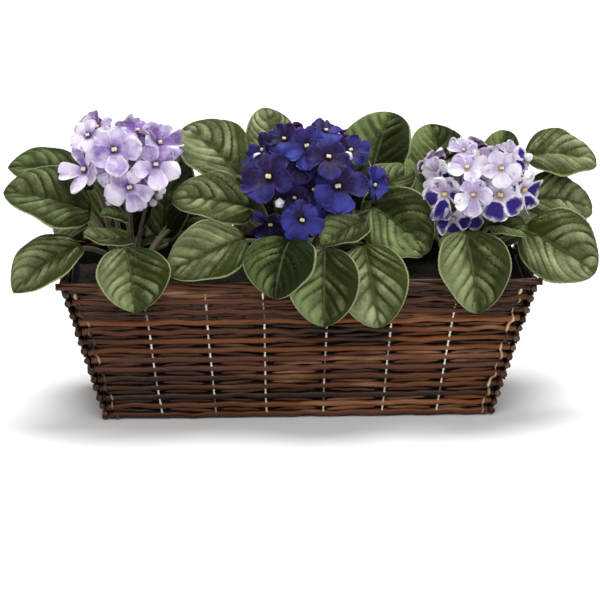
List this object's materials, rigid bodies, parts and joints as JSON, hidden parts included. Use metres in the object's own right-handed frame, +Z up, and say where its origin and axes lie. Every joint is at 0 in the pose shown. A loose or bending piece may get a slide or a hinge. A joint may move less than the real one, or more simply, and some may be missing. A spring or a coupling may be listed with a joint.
{
  "type": "potted african violets in a willow basket planter",
  "caption": "Low flared willow basket planter with a liner and soil, holding african violets: rosettes of velvety leaves under round heads of lavender, violet and white-and-violet blooms.",
  "frame": {"origin": "middle of the basket's flat underside, on the surface it stands on", "axes": "+X along the basket to the right, -Y to the front, +Z up"},
  "size_m": [0.5031, 0.2067, 0.2498],
  "materials": {
    "willow": "stained brown bark, satin",
    "liner": "black, dull",
    "soil": "dark moist crumbs",
    "leaf": "velvety, quilted",
    "stalk": "softly hairy",
    "petal_lavender": "soft, satiny",
    "petal_violet": "soft, satiny",
    "petal_bicolour": "soft, satiny"
  },
  "bodies": {
    "root": {"basket_front_panel": "willow", "basket_back_panel": "willow", "basket_right_end": "willow", "basket_left_end": "willow", "basket_base": "willow", "liner_tray": "liner", "potting_soil": "soil", "lavender_rosette": "leaf", "lavender_stalks": "stalk", "lavender_bloom_01": "petal_lavender", "lavender_bloom_02": "petal_lavender", "lavender_bloom_03": "petal_lavender", "lavender_bloom_04": "petal_lavender", "lavender_bloom_05": "petal_lavender", "lavender_bloom_06": "petal_lavender", "lavender_bloom_07": "petal_lavender", "lavender_bloom_08": "petal_lavender", "lavender_bloom_09": "petal_lavender", "lavender_bloom_10": "petal_lavender", "lavender_bloom_11": "petal_lavender", "lavender_bloom_12": "petal_lavender", "violet_rosette": "leaf", "violet_stalks": "stalk", "violet_bloom_01": "petal_violet", "violet_bloom_02": "petal_violet", "violet_bloom_03": "petal_violet", "violet_bloom_04": "petal_violet", "violet_bloom_05": "petal_violet", "violet_bloom_06": "petal_violet", "violet_bloom_07": "petal_violet", "violet_bloom_08": "petal_violet", "violet_bloom_09": "petal_violet", "violet_bloom_10": "petal_violet", "violet_bloom_11": "petal_violet", "violet_bloom_12": "petal_violet", "violet_bloom_13": "petal_violet", "violet_bloom_14": "petal_violet", "violet_bloom_15": "petal_violet", "violet_bloom_16": "petal_violet", "violet_bloom_17": "petal_violet", "bicolour_rosette": "leaf", "bicolour_stalks": "stalk", "bicolour_bloom_01": "petal_bicolour", "bicolour_bloom_02": "petal_bicolour", "bicolour_bloom_03": "petal_bicolour", "bicolour_bloom_04": "petal_bicolour", "bicolour_bloom_05": "petal_bicolour", "bicolour_bloom_06": "petal_bicolour", "bicolour_bloom_07": "petal_bicolour", "bicolour_bloom_08": "petal_bicolour", "bicolour_bloom_09": "petal_bicolour", "bicolour_bloom_10": "petal_bicolour", "bicolour_bloom_11": "petal_bicolour", "bicolour_bloom_12": "petal_bicolour", "bicolour_bloom_13": "petal_bicolour", "bicolour_bloom_14": "petal_bicolour", "bicolour_bloom_15": "petal_bicolour", "bicolour_bloom_16": "petal_bicolour"}
  },
  "joints": []
}
